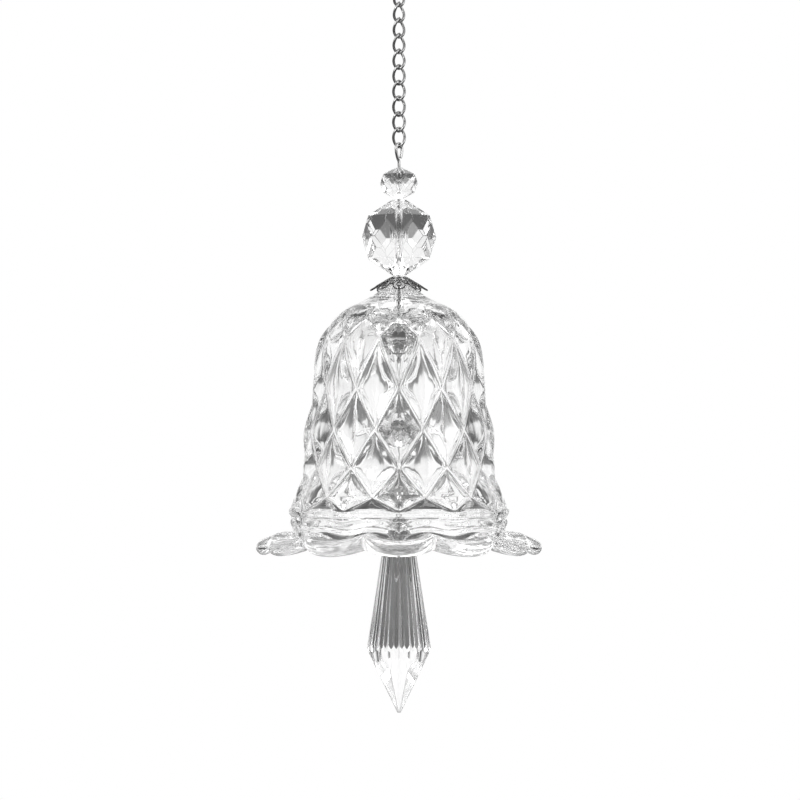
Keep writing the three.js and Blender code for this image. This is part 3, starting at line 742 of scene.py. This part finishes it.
# Glass bell. It is pressed from clear soda glass in a mould with twelve columns of raised
# diamonds. The cool mould ripples its skin, most of all in the crown, whose thick glass is a
# little grey. The hot rim is flared, crimped to twelve dished lobes and fire polished.
millimetre = 0.001
bell_lobes = 12
bell_top = -92.95
bell_bore, bell_bore_rim, ceiling_radius = 0.75, 0.9, 5.0
crown_depth, crown_thickness = 7.6, 11.4
waist_radius, waist_depth, waist_lift, waist_wave = 28.6, 68.4, 0.7, 0.9
mouth_radius, diamond_wall = 26.6, 3.4
lobe_radius, lobe_depth, cusp_radius, cusp_depth = 38.6, 72.3, 35.4, 70.5
lobe_roundness, rim_thickness, dish_depth = 0.8, 4.2, 0.8
lip_reach, lip_rise = 4.2, 0.9
lattice_relief, groove_width, groove_floor = 1.25, 0.03, 0.045
ledge_steepness, ledge_margin = 1.4, 0.08
diamond_softness, ledge_softness = 2.0, 3.0
lattice_rows = 6
lattice_depths = np.array([10.3, 16.5, 29.8, 40.9, 50.9, 58.7, 62.8])
bore_points, crown_points, shoulder_points = 2, 20, 5
band_points, lip_points, edge_points, inside_steps = 21, 16, 13, 60


# Curve through the given points, at shares of its length
def smooth_through(points, shares):
    points = np.array(points, float)
    places = np.asarray(shares) * (len(points) - 1)
    start = np.minimum(places.astype(int), len(points) - 2)
    t = (places - start)[:, None]
    p0, p1 = points[np.maximum(start - 1, 0)], points[start]
    p2, p3 = points[start + 1], points[np.minimum(start + 2, len(points) - 1)]
    v0, v1 = (p2 - p0) / 2, (p3 - p1) / 2
    cubic = 2 * p1 - 2 * p2 + v0 + v1
    square = 3 * p2 - 3 * p1 - 2 * v0 - v1
    return cubic * t ** 3 + square * t ** 2 + v0 * t + p1


def bezier(points, shares):
    t = shares[:, None]
    a, b, c, d = (np.array(point) for point in points)
    return a * (1 - t) ** 3 + 3 * b * t * (1 - t) ** 2 + 3 * c * t ** 2 * (1 - t) + d * t ** 3


# Soft minimum of two distances
def nearer(one, other, softness):
    least = 0.001
    one, other = np.maximum(one, least), np.maximum(other, least)
    return (one ** -softness + other ** -softness) ** (-1 / softness)


outside_line = smooth_through([
    (2.4, 0), (4.2, 2.2), (8.03, 4.9), (16.5, 9.4), (21.2, 15.7), (23.5, 24), (24.0, 32.5),
    (25.8, 42), (26.5, 52), (28.2, 58.7), (30.9, 62.8),
], np.linspace(0, 1, 2000))


def outside_radius(depth):
    return np.interp(depth, outside_line[:, 1], outside_line[:, 0])


inside_points = [(mouth_radius, waist_depth)]
for share, walls in (
    (0.865, 1), (0.743, 1), (0.546, 1.05), (0.377, 0.95), (0.216, 1), (0.1, 1.2), (0.029, 1.75), (0, 3),
):
    depth = crown_thickness + share * (waist_depth - crown_thickness)
    inside_points.append((outside_radius(depth) - walls * diamond_wall, depth))
inside_line = smooth_through(inside_points, np.linspace(0, 1, inside_steps + 1))


# Height of the diamonds, from 0 in the grooves to 1 in the middle of a diamond
def pillow(across, row):
    folds = [np.abs(fold - np.round(fold)) for fold in ((across + row) / 2, (across - row) / 2)]
    nearest = nearer(*folds, diamond_softness) * 2 ** (1 / diamond_softness)
    above_ledge = (lattice_rows - row) * ledge_steepness + ledge_margin
    nearest = nearer(np.minimum(nearest, 0.5), above_ledge, ledge_softness)
    nearest = np.maximum(nearest - groove_floor, 0) * 0.5 / (0.5 - groove_floor)
    rounded = np.sqrt(nearest ** 2 + groove_width ** 2) - groove_width
    rounded = rounded / (math.sqrt(0.25 + groove_width ** 2) - groove_width) / 2
    return 1 - (1 - 2 * rounded) ** 2


# One section of the bell, down the outside, round the rim and up the inside
def bell_section(angle, half_steps):
    section = [(bell_bore, 0.0), (bell_bore_rim, 0.0)]
    section += [(float(outside_radius(d)), d) for d in np.linspace(0.0, crown_depth, crown_points)]
    rows = np.arange(lattice_rows * half_steps + 1) / half_steps
    depths = np.interp(rows, np.arange(lattice_rows + 1), lattice_depths)
    across = np.full(rows.shape, bell_lobes * angle / math.pi)
    grooves = lattice_relief * (1 - pillow(across, rows))
    for share in np.linspace(0, 1, shoulder_points + 2)[1:-1]:
        depth = crown_depth + share * (lattice_depths[0] - crown_depth)
        groove = float(grooves[0]) * share ** 2 * (3 - 2 * share)
        section.append((float(outside_radius(depth)) - groove, depth))
    section += [(float(outside_radius(d)) - float(g), float(d)) for d, g in zip(depths, grooves)]
    ledge = section[-1]
    lobe = abs(math.cos(bell_lobes * angle / 2)) ** lobe_roundness
    soft_lobe = (1 + math.cos(bell_lobes * angle)) / 2
    waist = (waist_radius, waist_depth - waist_lift + waist_wave * soft_lobe)
    band = smooth_through([
        ledge, (ledge[0] - 0.1, ledge[1] + 0.5), (ledge[0] - 0.6, ledge[1] + 1.3),
        (29.3, waist[1] - 3.1), (28.8, waist[1] - 1.5), waist,
    ], np.linspace(0, 1, band_points + 1))
    section += [tuple(point) for point in band[1:]]
    half = rim_thickness / 2
    edge_radius = cusp_radius + (lobe_radius - cusp_radius) * lobe - half
    edge_depth = cusp_depth + (lobe_depth - cusp_depth) * lobe
    top = bezier((
        waist, (waist[0] - 0.1, waist[1] + 1.3),
        (edge_radius - lip_reach, edge_depth - half - lip_rise), (edge_radius, edge_depth - half),
    ), np.linspace(0, 1, lip_points + 1)[1:])
    section += [
        (radius, depth + dish_depth * soft_lobe * math.sin(math.pi * (i + 1) / len(top)) ** 2)
        for i, (radius, depth) in enumerate(top)
    ]
    for turn in np.radians(np.linspace(-90, 135, edge_points + 2)[1:-1]):
        section.append((edge_radius + half * math.cos(turn), edge_depth + half * math.sin(turn)))
    under = bezier((
        (edge_radius - half * 0.7, edge_depth + half * 0.7),
        (edge_radius - 2.2 * half, edge_depth - 0.1 * half),
        (mouth_radius + 0.3 * half, waist_depth + 2.4 * half), (mouth_radius, waist_depth),
    ), np.linspace(0, 1, lip_points + 1)[:-1])
    section += [tuple(point) for point in (*under, *inside_line)]
    ceiling = (ceiling_radius, bell_bore_rim, bell_bore)
    return section + [(radius, crown_thickness) for radius in ceiling]


# Distance to the nearest groove, for the crisp step that the mould leaves beside it
def off_the_lattice(angle, depth):
    fade_above, fade_to_ledge = 0.04, 16
    across = bell_lobes * angle / math.pi
    row = float(np.interp(depth, lattice_depths, np.arange(lattice_rows + 1)))
    beyond = max(lattice_depths[0] - depth, 0.0)
    folds = [(across + row) / 2, (across - row) / 2]
    nearest = min(abs(fold - round(fold)) for fold in folds) + fade_above * beyond
    above_ledge = (lattice_depths[-1] - depth) / fade_to_ledge
    return min(0.5, float(nearer(nearest, above_ledge, ledge_softness)))


def bell_sector(half_steps):
    columns = 2 * half_steps
    angles = [2 * math.pi / bell_lobes * column / columns for column in range(columns + 1)]
    sections = [bell_section(angle, half_steps) for angle in angles]
    rows = len(sections[0])
    verts, faces = [], []
    for angle, section in zip(angles, sections):
        for radius, depth in section:
            height = (bell_top - depth) * millimetre
            verts.append(polar(radius * millimetre, angle - math.pi / 2, height))
    first = bore_points + crown_points + shoulder_points
    last = first + lattice_rows * half_steps
    for column in range(columns):
        for row in range(rows):
            a, b = column * rows + row, column * rows + (row + 1) % rows
            c, d = a + rows, b + rows
            even = (column // half_steps + (row - first) // half_steps) % 2 == 0
            faces += [(a, b, d), (a, d, c)] if even else [(a, b, c), (b, d, c)]
    mesh = bpy.data.meshes.new("bell_sector")
    mesh.from_pydata(verts, [], faces)
    lattice = mesh.attributes.new("lattice", "FLOAT", "POINT")
    lattice.data.foreach_set("value", [
        off_the_lattice(angle, depth) if row <= last else 0.0
        for angle, section in zip(angles, sections) for row, (radius, depth) in enumerate(section)
    ])
    return mesh


def sector_tree():
    tree, given = geometry_tree("pressed_sectors", [
        ("Sectors", "Int", 12), ("Join", "Float", 0.000001), ("Material", "Material", None),
    ], takes_geometry=True)
    ring = round_the_axis(tree, given["Geometry"], given["Sectors"])
    ring = node(tree, "GeometryNodeRealizeInstances", {"Geometry": ring}).outputs[0]
    join = {"Geometry": ring, "Distance": given["Join"]}
    ring = node(tree, "GeometryNodeMergeByDistance", join).outputs[0]
    close_tree(tree, ring, given["Material"])
    return tree


pressed_glass = clear_glass(
    "pressed_soda_glass", 1.5, wave_size=0.003, haze=0.02, tint=0.998, ripple=1e-4, stretch=5.0,
    moulded=("lattice", 0.03, 0.058, 0.0002),
    by_height=(
        -0.169, -0.093,
        [(0.0, 0.1), (0.12, 0.2), (0.2, 0.6), (0.8, 0.5), (0.9, 0.9), (1.0, 0.7)],
        [(0.0, 0.998), (0.76, 0.998), (0.88, 0.93), (1.0, 0.90)],
    ),
)
one_sector = bell_sector(half_steps=16)
sectors = {"Sectors": bell_lobes, "Material": pressed_glass}
bell_mesh = grown("glass_bell", sector_tree(), sectors, one_sector)
piece("glass_bell_pressing", bell_mesh, "glass_bell", "clear_glass", "glass_bell")


# Icicle prism. It is pressed and cut from clear lead glass: a stem with sixteen ground flutes,
# a girdle of eight flats and an eight sided point. The wheel has left its arrises matt and its
# tip a little blunt. The arrises and the faces beside the flute ridges are also tinted darker,
# as painted shade for the dark lines along them. Its head is drilled for the ring.
hole_height, hole_radius = -157.997e-3, 0.95e-3
head_height, head_bevel, head_flare, head_drop = 4.4, 0.35, 0.5, 1.1
head_radius, top_radius, neck_radius = 3.1, 2.0, 2.45
flute_top_radius, flute_top, fade_start, fade_length = 3.7, 3.2, 0.4, 0.8
girdle_radius, girdle = 8.8, 35.7
shoulder_radius, shoulder, tip = 6.8, 40.5, 52.7
flutes, flute_steps, wheel_radius = 16, 16, 4.5
point_sides, arris_width = 8, 0.17
spare_stem, spare_point = 3.0, 2.0


# Radius of a fluted stem at an azimuth, where the wheel meets the ridges of the given radius
def fluted_radius(ridge, azimuth):
    half_angle = math.pi / flutes
    off_middle = ((azimuth * flutes / (2 * math.pi)) % 1.0 - 0.5) * 2 * math.pi / flutes
    chord = ridge * math.sin(half_angle)
    axis = ridge * math.cos(half_angle) + math.sqrt(wheel_radius ** 2 - chord ** 2)
    to_wheel = math.sqrt(wheel_radius ** 2 - (axis * math.sin(off_middle)) ** 2)
    return min(axis * math.cos(off_middle) - to_wheel, ridge)


def fluted_blank():
    head_side = head_height - head_drop
    slope = (girdle_radius - flute_top_radius) / (girdle - flute_top)
    outline = [(head_height, top_radius), (head_height - head_bevel, top_radius + head_flare)]
    outline.append((head_side, head_radius))
    for share in np.linspace(0.25, 1, 4):
        outline.append((head_side * (1 - share), head_radius - (head_radius - neck_radius) * share))
    for share in np.linspace(0.2, 1, 5):
        outline.append((-flute_top * share, neck_radius + (flute_top_radius - neck_radius) * share))
    for depth in np.linspace(1.0, girdle - flute_top + spare_stem, 40):
        outline.append((-flute_top - depth, flute_top_radius + slope * depth))
    bm = bmesh.new()
    rings = []
    count = flutes * flute_steps
    for z, ridge in outline:
        fade = (-z - fade_start * flute_top) / (fade_length * flute_top)
        fade = min(max(fade, 0.0), 1.0)
        fade = fade * fade * (3 - 2 * fade)
        ring = []
        for i in range(count):
            azimuth = 2 * math.pi * i / count
            radius = ridge + (fluted_radius(ridge, azimuth) - ridge) * fade
            ring.append(bm.verts.new(polar(radius, azimuth, z)))
        rings.append(ring)
    blank_end = -tip - spare_point
    rings.append([bm.verts.new((vert.co.x, vert.co.y, blank_end)) for vert in rings[-1]])
    for upper, lower in zip(rings, rings[1:]):
        for i in range(count):
            j = (i + 1) % count
            wall = bm.faces.new((upper[i], lower[i], lower[j], upper[j]))
            beside_ridge = i % flute_steps in (0, flute_steps - 1)
            fluted = upper[i].co.z < -flute_top and lower is not rings[-1]
            wall.material_index = 1 if beside_ridge and fluted else 0
    bm.faces.new(rings[0])
    bm.faces.new(rings[-1][::-1])
    bm.normal_update()
    return bm


def icicle_mesh(name, materials):
    below_girdle, drill_length, join_distance = 0.4, 12e-3, 1e-7
    least_arris, least_sharp = math.radians(8), math.radians(16)
    bm = fluted_blank()
    flat = math.pi / point_sides
    girdle_flat = (girdle_radius * math.cos(flat), -girdle)
    shoulder_flat = (shoulder_radius * math.cos(flat), -shoulder)
    point_top = (shoulder_flat[0] * math.cos(flat), -shoulder)
    planes = ring_of_planes(girdle_flat, shoulder_flat, point_sides, flat)
    planes += ring_of_planes(point_top, (0.0, -tip), point_sides, 0)
    for point, normal in planes:
        grind(bm, point, normal)
    bm.normal_update()
    arrises = [
        edge for edge in bm.edges
        if max(vert.co.z for vert in edge.verts) < -girdle - below_girdle
        and len(edge.link_faces) == 2 and edge.calc_face_angle() > least_arris
    ]
    bmesh.ops.bevel(
        bm, geom=arrises, offset=arris_width, segments=1, affect="EDGES", clamp_overlap=True, material=2,
    )
    bmesh.ops.scale(bm, verts=bm.verts, vec=(millimetre, millimetre, millimetre))
    bmesh.ops.translate(bm, verts=bm.verts, vec=(0, 0, hole_height))
    across = Matrix.Rotation(math.pi / 2, 3, "X")
    middle = Vector((0, 0, hole_height))
    mesh = drilled(name, bm, hole_radius, across, middle, drill_length, materials)
    bm = bmesh.new()
    bm.from_mesh(mesh)
    bmesh.ops.remove_doubles(bm, verts=bm.verts, dist=join_distance)
    for edge in bm.edges:
        faces = edge.link_faces
        alike = len(faces) == 2 and faces[0].normal.dot(faces[1].normal) > math.cos(least_sharp)
        edge.smooth = alike
    for face in bm.faces:
        face.smooth = True
    bm.to_mesh(mesh)
    bm.free()
    return mesh


prism_glass = clear_glass(
    "prism_lead_glass", lead_glass_ior, wave_size=0.008, haze=0.02, tint=0.998, ripple=6e-6, stretch=6.0,
)
# Faces beside the flute ridges: matt from wear, and tinted a little darker as painted shade
ridge_faces_with_painted_shade = clear_glass(
    "matt_flute_ridge_faces_with_painted_shade", lead_glass_ior, wave_size=0.002, haze=0.2, tint=0.97, ripple=2e-6,
    matt=0.3,
)
# Arrises: matt from grinding, and tinted much darker as painted shade along the edges
matt_arris_with_painted_shade = clear_glass(
    "matt_arris_of_the_prism_with_painted_shade", lead_glass_ior, wave_size=0.001, haze=0.3, tint=0.45, ripple=2e-6,
    matt=0.35,
)
icicle = icicle_mesh("icicle_prism", (prism_glass, ridge_faces_with_painted_shade, matt_arris_with_painted_shade))
piece("icicle_prism_glass", icicle, "icicle_prism", "clear_glass", "icicle_prism")
